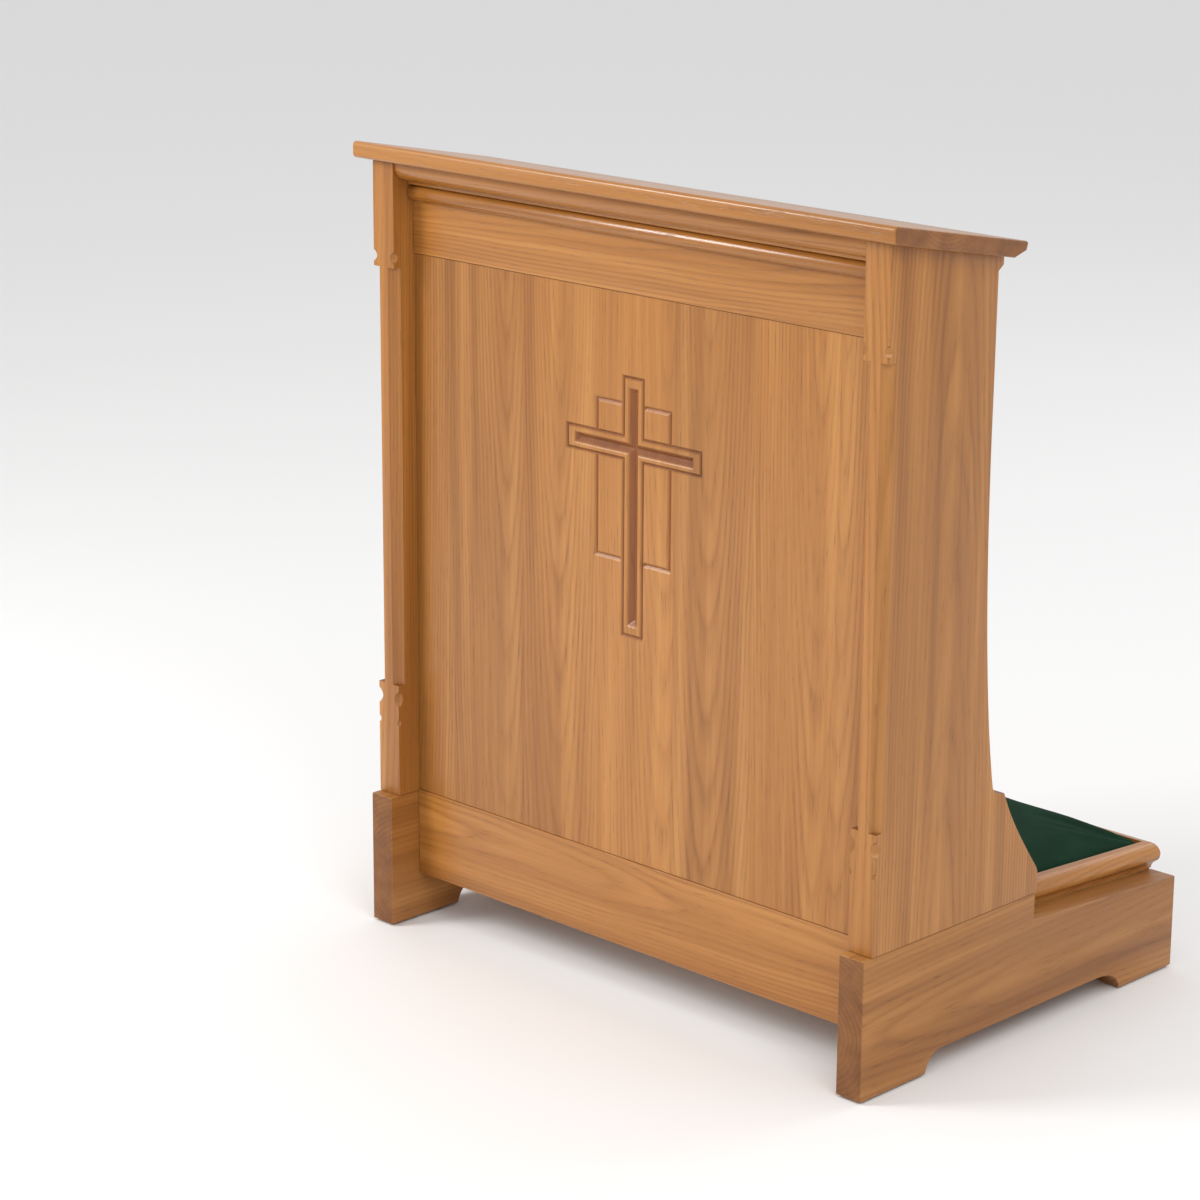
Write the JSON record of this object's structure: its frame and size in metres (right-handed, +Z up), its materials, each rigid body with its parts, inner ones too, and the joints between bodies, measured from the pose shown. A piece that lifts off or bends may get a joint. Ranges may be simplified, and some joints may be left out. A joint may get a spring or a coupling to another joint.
{
  "type": "prie-dieu kneeling desk",
  "caption": "Oak prayer kneeler with a sloping desk top, a front panel carved with a cross, shaped side uprights on bracket foot boards, and a low padded kneeler behind.",
  "frame": {"origin": "on the floor, at the middle of the overall width and depth", "axes": "+Z up, +Y from the carved front panel towards the kneeler, +X to the right seen from the front"},
  "size_m": [0.772, 0.5476, 0.9052],
  "materials": {
    "oak_frame": "medium oak, clear satin lacquer",
    "oak_panel": "medium oak veneer and boards, clear satin lacquer",
    "oak_moulding": "medium oak, clear satin lacquer, brighter on the rounded edges",
    "oak_inside": "unstained oak",
    "plywood": "raw plywood",
    "green_fabric": "dark green woven upholstery cloth",
    "screw_steel": "yellow zinc plated steel",
    "nylon_glide": "plain nylon"
  },
  "bodies": {
    "root": {"book_shelf": "oak_frame", "bottom_rail": "oak_panel", "crown_bead": "oak_moulding", "crown_moulding": "oak_moulding", "desk_left_cleat": "oak_inside", "desk_left_screw_1": "screw_steel", "desk_left_screw_2": "screw_steel", "desk_rear_apron": "oak_frame", "desk_right_cleat": "oak_inside", "desk_right_screw_1": "screw_steel", "desk_right_screw_2": "screw_steel", "desk_top": "oak_moulding", "front_panel": "oak_panel", "kneeler_centre_bearer": "oak_inside", "kneeler_front_rail": "oak_frame", "kneeler_left_cleat": "oak_inside", "kneeler_pad": "green_fabric", "kneeler_rear_rail": "oak_frame", "kneeler_right_cleat": "oak_inside", "left_dowel_1": "oak_inside", "left_dowel_2": "oak_inside", "left_foot_board": "oak_frame", "left_glide_1": "nylon_glide", "left_glide_2": "nylon_glide", "left_upright": "oak_frame", "nosing_left": "oak_moulding", "nosing_rear": "oak_moulding", "nosing_right": "oak_moulding", "pad_board": "plywood", "panel_left_batten": "oak_inside", "panel_right_batten": "oak_inside", "right_dowel_1": "oak_inside", "right_dowel_2": "oak_inside", "right_foot_board": "oak_frame", "right_glide_1": "nylon_glide", "right_glide_2": "nylon_glide", "right_upright": "oak_frame", "shelf_ledge": "oak_frame", "shelf_left_cleat": "oak_inside", "shelf_left_screw_1": "screw_steel", "shelf_left_screw_2": "screw_steel", "shelf_right_cleat": "oak_inside", "shelf_right_screw_1": "screw_steel", "shelf_right_screw_2": "screw_steel", "top_rail": "oak_panel"}
  },
  "joints": []
}
